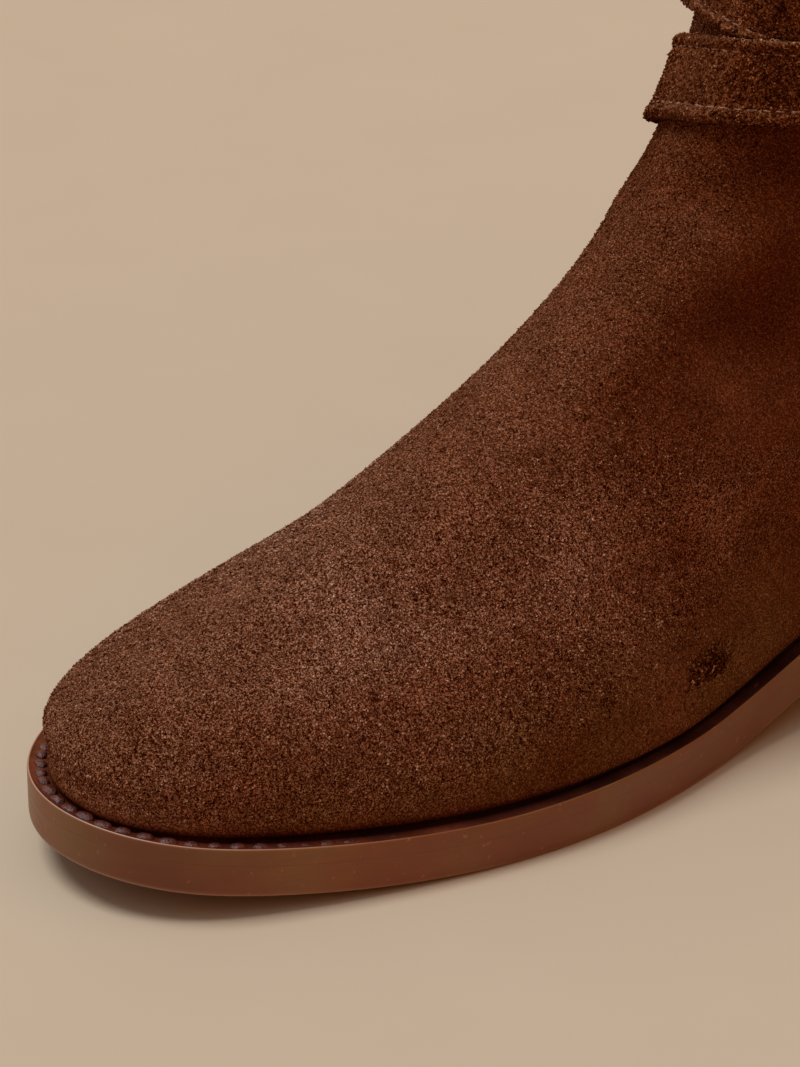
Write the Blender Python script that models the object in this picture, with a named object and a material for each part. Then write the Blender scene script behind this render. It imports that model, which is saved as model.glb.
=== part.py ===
"""Right suede ankle boot with two crossed ankle straps, on a welted leather sole with a stacked heel.

Tables and sizes are in millimetres, and the meshes are in metres. +Z is up, the toe points to -Y, and the
inner side of the foot is at +X. The origin is on the floor, under the middle of the boot's box.
"""

import math

import bpy
import numpy as np

MM = 0.001

# Driving sizes
SOLE_LENGTH = 298.0
HEEL_HEIGHT = 26.0
TOE_SPRING = 8.0
OUTSOLE_THICKNESS = 6.0
WELT_THICKNESS = 3.3
UPPER_WALL = 2.2
INSOLE_THICKNESS = 3.0
STRAP_WIDTH = 15.5
STRAP_THICKNESS = 2.0
STRAP_SOFT_EDGE = 0.5
SEAT_GAP = 0.3

# Where the sole lies flat, and where the heel block starts, along Y
SPRING_START = -68.0
FLAT_END = -30.0
HEEL_BREAST = 78.0

# Welt: what shows outside the upper at the toe and at the heel, its whole width, and its chamfer
WELT_MARGIN_TOE = 4.6
WELT_MARGIN_HEEL = 2.8
WELT_WIDTH = 13.5
WELT_CHAMFER = 0.6

# Shares of the length between which the welt narrows, and between which the feather rings change over
WELT_NARROWS = (0.3, 0.9)
FEATHER_CHANGES = (0.05, 0.6)

# Heel block
HEEL_LIFTS = 4
LIFT_GROOVE = 0.35
HEEL_TOP_LIFT = 5.5
TOP_LIFT_ROUND = 0.8
HEEL_TAPER = 1.6

# Sampling of the meshes
SIDE_STEPS = 30
RINGS_PER_ROW = 2
HEEL_POINTS = 31
SHAFT_ROWS = 5
SHAFT_SAMPLES = 121
SMOOTH_BELOW = 40.0
HEEL_SMOOTH_BELOW = 25.0

# The sole's edge: share of the length from the toe, inner edge and outer edge along X
SOLE_OUTLINE = (
    # along, inner, outer
    (0.00, 8.0, 8.0),
    (0.05, 32.8, -22.0),
    (0.10, 38.8, -34.0),
    (0.20, 45.9, -47.0),
    (0.30, 47.9, -53.0),
    (0.37, 44.9, -54.5),
    (0.45, 38.3, -52.0),
    (0.55, 32.5, -45.0),
    (0.65, 30.2, -40.0),
    (0.75, 31.5, -37.5),
    (0.85, 33.0, -36.0),
    (0.93, 28.5, -29.5),
    (1.00, 0.0, 0.0),
)

# The upper's lowest rings follow the sole's edge: inset beyond the welt margin, and height above the welt,
# each at the toe and at the heel
FEATHER_RINGS = (
    # toe_inset, heel_inset, toe_rise, heel_rise
    (0.0, 0.0, 0.0, 0.0),
    (-0.6, -1.2, 5.0, 7.0),
    (0.3, -1.7, 11.5, 14.5),
)

# The upper's higher rings: front and back end, half widths from front to back, then how far the ring keeps
# the sole's rise (follow) and its sideways swing, and how far its front end leans to the inner side
LAST_RINGS = (
    # front_y, front_z, back_y, back_z, toe, fore, middle, seat, heel, follow, swing, lean
    (-133.2, 36.2, 148.0, 58.0, 20.6, 36.0, 36.4, 34.2, 26.6, 0.50, 1.10, 7.0),
    (-121.2, 40.4, 147.6, 63.0, 15.2, 31.0, 35.6, 34.8, 26.6, 0.15, 1.00, 9.0),
    (-103.0, 48.2, 146.6, 68.0, 13.8, 28.4, 35.3, 35.3, 26.2, 0.00, 0.85, 10.0),
    (-81.2, 58.4, 145.0, 73.0, 13.8, 26.6, 35.8, 35.8, 25.5, 0.00, 0.65, 10.0),
    (-56.7, 69.5, 142.5, 81.0, 14.0, 26.0, 36.8, 35.2, 24.0, 0.00, 0.50, 9.0),
    (-33.1, 83.4, 138.5, 92.0, 14.2, 26.0, 37.0, 34.0, 22.0, 0.00, 0.35, 7.0),
    (-13.3, 101.1, 134.5, 105.0, 14.5, 27.0, 36.8, 32.6, 20.0, 0.00, 0.20, 4.5),
    (0.0, 120.5, 131.8, 120.0, 15.0, 28.0, 36.3, 31.8, 19.0, 0.00, 0.10, 2.0),
    (6.5, 142.0, 131.0, 138.0, 15.2, 29.0, 36.3, 31.8, 19.0, 0.00, 0.00, 0.5),
    (8.5, 164.5, 132.0, 158.0, 15.8, 30.2, 37.3, 32.8, 19.6, 0.00, 0.00, 0.0),
    (8.5, 186.0, 134.0, 178.0, 16.5, 31.5, 39.0, 34.3, 20.5, 0.00, 0.00, 0.0),
)
# Turn, from the front end at 0 to the back end at 180 degrees, of the five half widths above
WIDTH_TURNS = (28.0, 58.0, 90.0, 122.0, 152.0)

# The two ankle straps round the shaft: turn in degrees, height of the lower strap's middle, its distance off
# the shaft at its foot and at its top, where it lies over the other strap, then the same for the upper strap
STRAP_ROWS = (
    # turn, lower_height, lower_foot, lower_top, upper_height, upper_foot, upper_top
    (0.0, 122.6, 0.8, 1.0, 140.5, 0.6, 0.4),
    (10.0, 123.4, 0.9, 2.9, 138.8, 0.3, 0.3),
    (28.0, 124.2, 1.3, 3.2, 136.4, 0.3, 0.3),
    (60.0, 125.0, 2.3, 3.2, 133.2, 0.3, 0.3),
    (90.0, 125.5, 2.8, 2.8, 131.2, 0.3, 0.3),
    (135.0, 125.3, 2.8, 2.8, 130.6, 0.3, 0.3),
    (180.0, 124.0, 2.2, 3.2, 132.0, 0.3, 0.3),
    (225.0, 119.5, 0.8, 2.9, 135.5, 0.3, 0.3),
    (250.0, 115.5, 0.4, 0.7, 138.0, 0.4, 0.3),
    (290.0, 112.0, 0.4, 0.4, 140.6, 0.7, 0.4),
    (325.0, 115.8, 0.8, 0.3, 141.8, 1.4, 0.6),
    (347.0, 120.9, 0.9, 0.3, 141.3, 1.4, 0.6),
)


def spline(knots, values, places):
    """Natural cubic curve through the values at the knots, read at the given places."""
    knots, values, places = (np.asarray(a, float) for a in (knots, values, places))
    step = np.diff(knots)
    column = (-1,) + (1,) * (values.ndim - 1)
    slope = np.diff(values, axis=0) / step.reshape(column)
    system = np.eye(len(knots))
    load = np.zeros(values.shape)
    for i in range(1, len(knots) - 1):
        system[i, i - 1 : i + 2] = step[i - 1], 2 * (step[i - 1] + step[i]), step[i]
        load[i] = 6 * (slope[i] - slope[i - 1])
    bend = np.linalg.solve(system, load.reshape(len(knots), -1)).reshape(values.shape)
    i = np.clip(np.searchsorted(knots, places) - 1, 0, len(step) - 1)
    before = (places - knots[i]).reshape(column)
    after = (knots[i + 1] - places).reshape(column)
    width = step[i].reshape(column)
    curve = (bend[i] * after**3 + bend[i + 1] * before**3) / (6 * width)
    curve += (values[i] / width - bend[i] * width / 6) * after
    return curve + (values[i + 1] / width - bend[i + 1] * width / 6) * before


def round_trip(turns, inner, outer, places):
    """Closed curve over the turn: the inner side runs from 0 to pi, and the outer side comes back to 2 pi."""
    once = np.concatenate([turns, 2 * math.pi - turns[-2:0:-1]])
    value = np.concatenate([inner, outer[-2:0:-1]])
    thrice = np.concatenate([once - 2 * math.pi, once, once + 2 * math.pi])
    return spline(thrice, np.tile(value, 3), places)


def ring_turns(steps=SIDE_STEPS):
    """Turns of a ring's points: toe, inner side, heel, outer side."""
    return np.linspace(0.0, 2 * math.pi, 2 * steps, endpoint=False)


def ease(start, end, place):
    """0 before start, 1 after end, and a smooth step between."""
    share = np.clip((np.asarray(place, float) - start) / (end - start), 0.0, 1.0)
    return share * share * (3 - 2 * share)


def tread_height(y):
    """Underside of the outsole: heel seat, arched waist, flat forefoot and toe spring."""
    toe_reach = SOLE_LENGTH / 2 + SPRING_START
    spring = TOE_SPRING * (np.clip(SPRING_START - y, 0.0, None) / toe_reach) ** 2
    return spring + HEEL_HEIGHT * ease(FLAT_END, HEEL_BREAST, y)


def welt_top(y):
    """Top of the welt, where the upper stands."""
    return tread_height(y) + OUTSOLE_THICKNESS + SEAT_GAP + WELT_THICKNESS


def sole_edge(turns):
    """The sole's edge in plan, at the given turns."""
    along, inner, outer = np.array(SOLE_OUTLINE).T
    x = round_trip(np.arccos(1 - 2 * along), inner, outer, turns)
    return np.stack([x, -SOLE_LENGTH / 2 * np.cos(turns)], axis=1)


def sole_centre(y):
    """Middle of the sole between its two edges, where the foot swings sideways."""
    turn = np.arccos(np.clip(-2 * np.asarray(y, float) / SOLE_LENGTH, -1.0, 1.0))
    return (sole_edge(turn)[:, 0] + sole_edge(2 * math.pi - turn)[:, 0]) / 2


def inset_edge(inset, steps=SIDE_STEPS):
    """The sole's edge moved inwards. The inset is one distance, or one for each point."""
    nudge = 1e-3
    turns = ring_turns(steps)
    tangent = sole_edge(turns + nudge) - sole_edge(turns - nudge)
    tangent /= np.linalg.norm(tangent, axis=1, keepdims=True)
    inward = np.stack([-tangent[:, 1], tangent[:, 0]], axis=1)
    return sole_edge(turns) + inward * np.broadcast_to(inset, len(turns))[:, None]


def welt_margin(steps=SIDE_STEPS):
    """Welt that shows outside the upper, at each point of the edge."""
    along = (1 - np.cos(ring_turns(steps))) / 2
    return WELT_MARGIN_TOE + (WELT_MARGIN_HEEL - WELT_MARGIN_TOE) * ease(*WELT_NARROWS, along)


def feather_ring(toe_inset, heel_inset, toe_rise, heel_rise, steps):
    """A low ring of the upper, that follows the sole's edge."""
    backward = ease(*FEATHER_CHANGES, (1 - np.cos(ring_turns(steps))) / 2)
    inset = toe_inset + (heel_inset - toe_inset) * backward
    rise = toe_rise + (heel_rise - toe_rise) * backward
    edge = inset_edge(welt_margin(steps) + inset, steps)
    return np.column_stack([edge, welt_top(edge[:, 1]) + SEAT_GAP + rise])


def last_ring(row, steps):
    """A ring round the last, from its front end on the vamp's ridge to its back end on the heel curve."""
    front_y, front_z, back_y, back_z, *widths, follow, swing, lean = row
    turns = ring_turns(steps)
    along = (1 - np.cos(turns)) / 2
    y = front_y + (back_y - front_y) * along
    knots = np.radians([0.0, *WIDTH_TURNS, 180.0])
    half = np.array([0.0, *widths, 0.0])
    x = round_trip(knots, half, -half, turns)
    x += swing * sole_centre(y) + lean * (1 - along) ** 2
    front_sole, back_sole = welt_top(np.array([front_y, back_y]))
    sag = welt_top(y) - (front_sole + (back_sole - front_sole) * along)
    z = front_z + (back_z - front_z) * along + follow * sag
    return np.column_stack([x, y, z])


def upper_surface(levels, steps=SIDE_STEPS):
    """Outside of the upper: one ring for each level, from 0 at the welt to the last row at the collar."""
    rows = [feather_ring(*row, steps) for row in FEATHER_RINGS]
    rows += [last_ring(row, steps) for row in LAST_RINGS]
    return spline(np.arange(len(rows)), np.array(rows), levels)


def collar_level():
    """Level of the upper's top ring."""
    return len(FEATHER_RINGS) + len(LAST_RINGS) - 1


def on_shaft(height, stand_off, steps=SIDE_STEPS):
    """Points off the shaft's outside, at a height and a distance for each turn of the ring."""
    levels = np.linspace(collar_level() - SHAFT_ROWS, collar_level(), SHAFT_SAMPLES)
    surface = upper_surface(levels, steps)
    around = np.roll(surface, -1, axis=1) - np.roll(surface, 1, axis=1)
    outward = np.cross(around, np.gradient(surface, axis=0))
    outward /= np.linalg.norm(outward, axis=2, keepdims=True)
    points = []
    for i in range(2 * steps):
        heights = surface[:, i, 2]
        place = [np.interp(height[i], heights, surface[:, i, k]) for k in range(3)]
        away = [np.interp(height[i], heights, outward[:, i, k]) for k in range(3)]
        points.append(np.array(place) + np.array(away) * stand_off[i])
    return np.array(points)


def strap_rings(middle, foot_gap, top_gap, steps=SIDE_STEPS):
    """A strap's lengthwise edges: up its outer face, over its top edge, and down its inner face."""
    soft = STRAP_SOFT_EDGE
    half = STRAP_WIDTH / 2
    section = (
        # up, out
        (-half, STRAP_THICKNESS - soft),
        (soft - half, STRAP_THICKNESS),
        (0.0, STRAP_THICKNESS),
        (half - soft, STRAP_THICKNESS),
        (half, STRAP_THICKNESS - soft),
        (half, 0.0),
        (0.0, 0.0),
        (-half, 0.0),
    )
    rings = []
    for up, out in section:
        share = up / STRAP_WIDTH + 0.5
        rings.append(on_shaft(middle + up, foot_gap + (top_gap - foot_gap) * share + out, steps))
    return rings


def strap_rows(steps=SIDE_STEPS):
    """The strap table's columns, read at each turn of a ring."""
    table = np.array(STRAP_ROWS)
    knots = np.radians(table[:, 0])
    thrice = np.concatenate([knots - 2 * math.pi, knots, knots + 2 * math.pi])
    return spline(thrice, np.tile(table[:, 1:], (3, 1)), ring_turns(steps)).T


def rings_mesh(rings, capped=True, looped=False):
    """Vertices and quads of stacked rings. Caps join points across, and a loop joins the two end rings."""
    count, points = len(rings), len(rings[0])
    half = points // 2
    quads = []
    for r in range(count if looped else count - 1):
        low, high = r * points, (r + 1) % count * points
        for i in range(points):
            j = (i + 1) % points
            quads.append((low + i, low + j, high + j, high + i))
    if capped and not looped:
        top = (count - 1) * points
        for i in range(half):
            a, b = i, i + 1
            c, d = (points - b) % points, (points - a) % points
            quads.append(tuple(dict.fromkeys((a, d, c, b))))
            quads.append(tuple(top + k for k in dict.fromkeys((a, b, c, d))))
    return np.concatenate(rings), quads


def box_middle():
    """X of the middle of the boot's box, which the sole's edge sets."""
    x = sole_edge(ring_turns())[:, 0]
    return (x.min() + x.max()) / 2


def material(name, colour, roughness):
    """A plain finish."""
    made = bpy.data.materials.new(name)
    made.use_nodes = True
    shader = made.node_tree.nodes["Principled BSDF"]
    shader.inputs["Base Color"].default_value = (*colour, 1.0)
    shader.inputs["Roughness"].default_value = roughness
    shader.inputs["Metallic"].default_value = 0.0
    return made


def add_object(name, vertices, quads, finish, smooth_below=SMOOTH_BELOW):
    """One named piece, shaded smooth except at its corners."""
    mesh = bpy.data.meshes.new(name)
    placed = (np.asarray(vertices) - (box_middle(), 0.0, 0.0)) * MM
    mesh.from_pydata(placed.tolist(), [], quads)
    mesh.shade_smooth()
    mesh.set_sharp_from_angle(angle=math.radians(smooth_below))
    mesh.materials.append(finish)
    made = bpy.data.objects.new(name, mesh)
    bpy.context.scene.collection.objects.link(made)
    return made


def sole_layer(inset, rise):
    """The sole's edge, inset, at a height above the tread."""
    edge = inset_edge(inset)
    return np.column_stack([edge, tread_height(edge[:, 1]) + rise])


def build_outsole(finish):
    """Leather outsole with a rounded lower corner."""
    layers = (
        # inset, rise
        (1.1, 0.0),
        (0.35, 0.5),
        (0.0, 1.6),
        (0.0, OUTSOLE_THICKNESS),
    )
    rings = [sole_layer(inset, rise) for inset, rise in layers]
    return add_object("outsole", *rings_mesh(rings), finish)


def build_welt(finish):
    """Welt strip all round, chamfered at its top edge, under the foot of the upper."""
    low = OUTSOLE_THICKNESS + SEAT_GAP
    high = low + WELT_THICKNESS
    section = (
        # inset, rise
        (0.0, low),
        (0.0, high - WELT_CHAMFER),
        (WELT_CHAMFER, high),
        (WELT_WIDTH, high),
        (WELT_WIDTH, low),
    )
    rings = [sole_layer(inset, rise) for inset, rise in section]
    return add_object("welt", *rings_mesh(rings, looped=True), finish)


def build_insole(finish):
    """Insole inside the foot of the upper."""
    inset = welt_margin() + UPPER_WALL + 2 * SEAT_GAP
    edge = inset_edge(inset)
    low = welt_top(edge[:, 1]) + SEAT_GAP
    rings = [np.column_stack([edge, low + rise]) for rise in (0.0, INSOLE_THICKNESS)]
    return add_object("insole", *rings_mesh(rings), finish)


def heel_ring(inset, height):
    """The heel's outline behind the breast, at one height."""
    breast_turn = math.acos(-2 * HEEL_BREAST / SOLE_LENGTH)
    behind = np.linspace(breast_turn, 2 * math.pi - breast_turn, HEEL_POINTS)
    edge = inset_edge(inset)
    x = np.interp(behind, ring_turns(), edge[:, 0])
    y = np.interp(behind, ring_turns(), edge[:, 1])
    return np.column_stack([x, y, np.full(len(x), height)])


def heel_taper(height):
    """How far the heel draws in towards the floor."""
    return HEEL_TAPER * (1 - height / HEEL_HEIGHT)


def heel_mesh(layers):
    """Solid of stacked heel outlines, from the floor up, closed by strips across."""
    rings = [heel_ring(heel_taper(height) + inset, height) for inset, height in layers]
    points = len(rings[0])
    vertices, quads = rings_mesh(rings, capped=False)
    top = (len(rings) - 1) * points
    for i in range(points // 2):
        a, b = i, i + 1
        c, d = points - 1 - b, points - 1 - a
        quads.append(tuple(dict.fromkeys((d, c, b, a))))
        quads.append(tuple(top + k for k in dict.fromkeys((a, b, c, d))))
    return vertices, quads


def build_heel(stack_finish, lift_finish):
    """Stacked leather lifts with a fine groove between them, on a rubber top lift."""
    low = HEEL_TOP_LIFT + SEAT_GAP
    high = HEEL_HEIGHT - SEAT_GAP
    stack = [(0.0, low)]
    for joint in np.linspace(low, high, HEEL_LIFTS + 1)[1:-1]:
        stack += [(0.0, joint - LIFT_GROOVE), (LIFT_GROOVE, joint), (0.0, joint + LIFT_GROOVE)]
    stack.append((0.0, high))
    add_object("heel_stack", *heel_mesh(stack), stack_finish, smooth_below=HEEL_SMOOTH_BELOW)
    top_lift = ((TOP_LIFT_ROUND, 0.0), (0.0, TOP_LIFT_ROUND), (0.0, HEEL_TOP_LIFT))
    add_object("heel_top_lift", *heel_mesh(top_lift), lift_finish, smooth_below=HEEL_SMOOTH_BELOW)


def build_upper(finish):
    """Vamp and shaft in one hollow wall, open at the collar and underneath."""
    levels = np.linspace(0.0, collar_level(), collar_level() * RINGS_PER_ROW + 1)
    rings = upper_surface(levels)
    made = add_object("upper", *rings_mesh(rings, capped=False), finish)
    wall = made.modifiers.new("wall", "SOLIDIFY")
    wall.thickness = UPPER_WALL * MM
    wall.offset = -1.0
    wall.use_even_offset = True
    return made


def build_straps(finish):
    """Two closed ankle straps, the lower one over the upper one where they cross."""
    rows = strap_rows()
    for name, columns in (("strap_lower", rows[:3]), ("strap_upper", rows[3:])):
        add_object(name, *rings_mesh(strap_rings(*columns), looped=True), finish)


def main():
    for old in list(bpy.data.objects):
        bpy.data.objects.remove(old, do_unlink=True)
    suede = material("suede", (0.095, 0.032, 0.014), 0.95)
    sole_leather = material("sole_leather", (0.115, 0.038, 0.015), 0.45)
    rubber = material("heel_rubber", (0.02, 0.013, 0.01), 0.7)
    insole_leather = material("insole_leather", (0.42, 0.25, 0.13), 0.6)
    build_outsole(sole_leather)
    build_welt(sole_leather)
    build_heel(sole_leather, rubber)
    build_insole(insole_leather)
    build_upper(suede)
    build_straps(suede)


main()
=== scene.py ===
"""Looks of the suede ankle boot: napped upper and straps, welted leather sole, and the photo's camera.

Sizes are in millimetres and the tables' turns in degrees, as in the CAD source. Meshes are in metres.
"""

import math

import bpy
import numpy as np
from mathutils import Matrix, Vector


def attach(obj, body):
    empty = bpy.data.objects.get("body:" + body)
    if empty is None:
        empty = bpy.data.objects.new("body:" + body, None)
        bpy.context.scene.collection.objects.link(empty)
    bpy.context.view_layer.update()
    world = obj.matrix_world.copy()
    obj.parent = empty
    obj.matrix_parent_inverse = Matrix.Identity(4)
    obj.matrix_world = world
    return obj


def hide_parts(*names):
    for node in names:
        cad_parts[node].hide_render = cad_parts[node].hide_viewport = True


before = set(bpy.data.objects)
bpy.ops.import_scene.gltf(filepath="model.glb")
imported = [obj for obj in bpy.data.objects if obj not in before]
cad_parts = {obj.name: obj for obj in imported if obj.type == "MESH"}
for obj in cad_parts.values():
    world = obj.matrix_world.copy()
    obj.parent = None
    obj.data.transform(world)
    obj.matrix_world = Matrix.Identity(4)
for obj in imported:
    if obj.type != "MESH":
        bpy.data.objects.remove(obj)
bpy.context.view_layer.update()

MM = 0.001
SEED = 7

# Sizes of the CAD model, repeated
SOLE_LENGTH = 298.0
HEEL_HEIGHT = 26.0
TOE_SPRING = 8.0
OUTSOLE_THICKNESS = 6.0
WELT_THICKNESS = 3.3
UPPER_WALL = 2.2
INSOLE_THICKNESS = 3.0
STRAP_WIDTH = 15.5
STRAP_THICKNESS = 2.0
SEAT_GAP = 0.3
SPRING_START = -68.0
FLAT_END = -30.0
HEEL_BREAST = 78.0
WELT_MARGIN_TOE = 4.6
WELT_MARGIN_HEEL = 2.8
WELT_WIDTH = 13.5
WELT_NARROWS = (0.3, 0.9)
FEATHER_CHANGES = (0.05, 0.6)
HEEL_LIFTS = 4
LIFT_GROOVE = 0.35
HEEL_TOP_LIFT = 5.5
TOP_LIFT_ROUND = 0.8
HEEL_TAPER = 1.6
CAD_SIDE_STEPS = 30
SHAFT_ROWS = 5
SHAFT_SAMPLES = 121
SOLE_TOP = OUTSOLE_THICKNESS + SEAT_GAP + WELT_THICKNESS

SOLE_OUTLINE = (
    # along, inner, outer
    (0.00, 8.0, 8.0),
    (0.05, 32.8, -22.0),
    (0.10, 38.8, -34.0),
    (0.20, 45.9, -47.0),
    (0.30, 47.9, -53.0),
    (0.37, 44.9, -54.5),
    (0.45, 38.3, -52.0),
    (0.55, 32.5, -45.0),
    (0.65, 30.2, -40.0),
    (0.75, 31.5, -37.5),
    (0.85, 33.0, -36.0),
    (0.93, 28.5, -29.5),
    (1.00, 0.0, 0.0),
)
FEATHER_RINGS = (
    # toe_inset, heel_inset, toe_rise, heel_rise
    (0.0, 0.0, 0.0, 0.0),
    (-0.6, -1.2, 5.0, 7.0),
    (0.3, -1.7, 11.5, 14.5),
)
LAST_RINGS = (
    # front_y, front_z, back_y, back_z, toe, fore, middle, seat, heel, follow, swing, lean
    (-133.2, 36.2, 148.0, 58.0, 20.6, 36.0, 36.4, 34.2, 26.6, 0.50, 1.10, 7.0),
    (-121.2, 40.4, 147.6, 63.0, 15.2, 31.0, 35.6, 34.8, 26.6, 0.15, 1.00, 9.0),
    (-103.0, 48.2, 146.6, 68.0, 13.8, 28.4, 35.3, 35.3, 26.2, 0.00, 0.85, 10.0),
    (-81.2, 58.4, 145.0, 73.0, 13.8, 26.6, 35.8, 35.8, 25.5, 0.00, 0.65, 10.0),
    (-56.7, 69.5, 142.5, 81.0, 14.0, 26.0, 36.8, 35.2, 24.0, 0.00, 0.50, 9.0),
    (-33.1, 83.4, 138.5, 92.0, 14.2, 26.0, 37.0, 34.0, 22.0, 0.00, 0.35, 7.0),
    (-13.3, 101.1, 134.5, 105.0, 14.5, 27.0, 36.8, 32.6, 20.0, 0.00, 0.20, 4.5),
    (0.0, 120.5, 131.8, 120.0, 15.0, 28.0, 36.3, 31.8, 19.0, 0.00, 0.10, 2.0),
    (6.5, 142.0, 131.0, 138.0, 15.2, 29.0, 36.3, 31.8, 19.0, 0.00, 0.00, 0.5),
    (8.5, 164.5, 132.0, 158.0, 15.8, 30.2, 37.3, 32.8, 19.6, 0.00, 0.00, 0.0),
    (8.5, 186.0, 134.0, 178.0, 16.5, 31.5, 39.0, 34.3, 20.5, 0.00, 0.00, 0.0),
)
WIDTH_TURNS = (28.0, 58.0, 90.0, 122.0, 152.0)
STRAP_ROWS = (
    # turn, lower_height, lower_foot, lower_top, upper_height, upper_foot, upper_top
    (0.0, 122.6, 0.8, 1.0, 140.5, 0.6, 0.4),
    (10.0, 123.4, 0.9, 2.9, 138.8, 0.3, 0.3),
    (28.0, 124.2, 1.3, 3.2, 136.4, 0.3, 0.3),
    (60.0, 125.0, 2.3, 3.2, 133.2, 0.3, 0.3),
    (90.0, 125.5, 2.8, 2.8, 131.2, 0.3, 0.3),
    (135.0, 125.3, 2.8, 2.8, 130.6, 0.3, 0.3),
    (180.0, 124.0, 2.2, 3.2, 132.0, 0.3, 0.3),
    (225.0, 119.5, 0.8, 2.9, 135.5, 0.3, 0.3),
    (250.0, 115.5, 0.4, 0.7, 138.0, 0.4, 0.3),
    (290.0, 112.0, 0.4, 0.4, 140.6, 0.7, 0.4),
    (325.0, 115.8, 0.8, 0.3, 141.8, 1.4, 0.6),
    (347.0, 120.9, 0.9, 0.3, 141.3, 1.4, 0.6),
)
COLLAR_LEVEL = len(FEATHER_RINGS) + len(LAST_RINGS) - 1

# Fine sampling of the looks, and the gap left where two pieces meet
FINE_STEPS = 210
SOLE_STEPS = 360
LEVELS_PER_ROW = 9
FOOT_LEVELS = 16
LINING_LEVELS = 40
CREASE_STEPS = 24
STRAP_STEPS = 180
STRAP_FACE_POINTS = 35
STRAP_BACK_POINTS = 7
HEEL_FINE_POINTS = 181
CLOSE_GAP = 0.02

# Soft troughs (depth above 0) and ridges (below 0): turn, level, depth and reach of each point
CREASES = (
    ((64, 8.3, 0.8, 8), (53.5, 8.05, 2.4, 9), (47, 7.75, 2.4, 9), (42, 7.3, 1.2, 7)),
    ((56, 6.6, 0.5, 5), (48, 6.9, 1, 5), (40, 7.05, 1, 5), (33, 7.05, 0.4, 5)),
    ((15, 8.85, -0.5, 6), (28, 8.8, -1.2, 6), (42, 8.7, -1.2, 6), (56, 8.8, -0.5, 6)),
    ((62, 6.95, -0.5, 7), (70, 6.5, -1, 8), (78, 6.1, -0.5, 7)),
    ((60, 9.3, 0.8, 6), (40, 9.35, 1, 6), (22, 9.25, 0.5, 6)),
    ((298, 8.35, 0.8, 8), (307, 8.05, 1.8, 9), (313, 7.6, 1, 8)),
    ((345, 8.85, -0.4, 6), (325, 8.75, -0.9, 6), (308, 8.75, -0.5, 6)),
)

# Foot and collar of the upper. A change is its amount and the two places that it runs between
FOOT_SPREAD = (
    # turn, how far the foot of the upper spreads over the welt
    (0, 1), (10, 1.4), (26, 0.95), (46, 0.3), (60, 0.9), (78, 1.7), (90, 0.6),
    (180, 0.3), (340, 0.8), (360, 1),
)
FOOT_SPREAD_LEVELS = (0.1, 1.0)
FOOT_TUCK = 0.5
FOOT_TUCK_LEVEL = 0.12
# Painted shade on the upper's foot, for the crevice above the welt: its darkest share, its reach in levels,
# and how it narrows between two turns
PAINTED_FOOT_SHADE = 0.3
PAINTED_FOOT_SHADE_REACH = 0.36
PAINTED_FOOT_SHADE_NARROWS = (0.22, 55.0, 75.0)
COLLAR_EDGE_LEVEL = 0.05
COLLAR_TURNS = (30, 60, 90, 120, 150)
COLLAR_SUEDE_RINGS = 3

# Patches of painted shade (below 0), as under and between the straps and in the ankle's folds, and of painted
# light: turn, level, change and reach
PAINTED_SHADE_AND_LIGHT = (
    (42, 3.8, 0.22, 26), (36, 1.1, -0.15, 15), (53, 6.2, -0.18, 9), (87, 1, 0.15, 12),
    (43, 8.85, -0.1, 8), (66, 1, -0.12, 24), (90, 1.8, -0.12, 26), (88, 5, -0.08, 24),
    (10, 2.1, 0.12, 18), (29, 1.7, 0.12, 12), (69, 3.28, 0.12, 14), (0, 5.3, 0.05, 14),
    (347, 10.5, 0.15, 7), (29, 9.45, -0.45, 15), (20.5, 9.22, -0.15, 9), (60, 9.1, -0.4, 16),
    (47, 7.9, -0.3, 10), (58, 7.65, -0.4, 10), (37, 7.8, -0.15, 8), (9, 8.65, -0.15, 20),
    (40.5, 7.12, -0.25, 8), (55.5, 6.58, -0.25, 7), (30, 8.78, 0.35, 8), (56, 4.83, 0.25, 9),
    (62, 3.58, 0.2, 9), (77, 4, 0.25, 7), (28.5, 4.65, 0.12, 10), (35.5, 2.7, 0.2, 8),
    (78, 0.88, 0.15, 7), (77.5, 2.65, -0.2, 8), (65, 1.88, -0.15, 8), (69.5, 2.18, -0.2, 5),
    (6, 2.58, -0.15, 9), (73.5, 3.85, -0.3, 3), (75.5, 5.6, 0.12, 9), (330, 9.3, -0.4, 16),
    (300, 9.2, -0.4, 16), (307, 7.9, -0.25, 10), (300, 4.5, 0.2, 12), (325, 4.6, 0.15, 12),
    (285, 2.3, -0.15, 9), (120, 6.5, 0.15, 16), (150, 4, -0.15, 16), (200, 6, 0.15, 16),
    (235, 3.5, -0.12, 14),
)

# Patches where the nap is less red: turn, level, change and reach
OLIVE = (
    (40, 0.35, 0.22, 9), (51, 0.35, 0.22, 9), (61, 0.9, 0.3, 13), (70.5, 0.7, 0.42, 15),
    (77, 2.2, 0.18, 10), (83.5, 0.4, 0.45, 15), (88, 1.1, 0.42, 16),
)

# Spots rubbed dark, with a clear border: turn, level, change and reach
RUBBED = (
    (80.3, 1.76, -0.6, 3.2), (82, 1.72, -0.6, 3.7), (83.2, 1.54, -0.6, 3), (70, 2.1, -0.35, 2),
    (67, 2.35, -0.3, 1.6),
)
RUBBED_BORDER = 8
RUBBED_COARSE = 0.6
RUBBED_LIVELY = 3.0

# Where the nap turns fine and smooth, on both sides: level, and the turn
SMOOTH_EDGE = (
    (0, 95), (3, 86), (5, 80), (6, 66), (7, 50), (8, 41), (9, 30), (13, 28),
)
SMOOTH_FADE = 9.0
FINE_NAP = 0.55
FOOT_NAP = 0.5
FOOT_NAP_LEVELS = (0.1, 0.9)

# Where the nap stops being lively, with light tips and dark gaps, on both sides: level, and the turn
LIVELY_EDGE = (
    (0, 52), (1, 54), (2, 66), (3, 84), (5, 80), (6, 62), (7, 46), (8, 32), (13, 26),
)
LIVELY_FADE = 14.0
ANKLE_CALM = (0.6, 5.2, 7.2)
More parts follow.
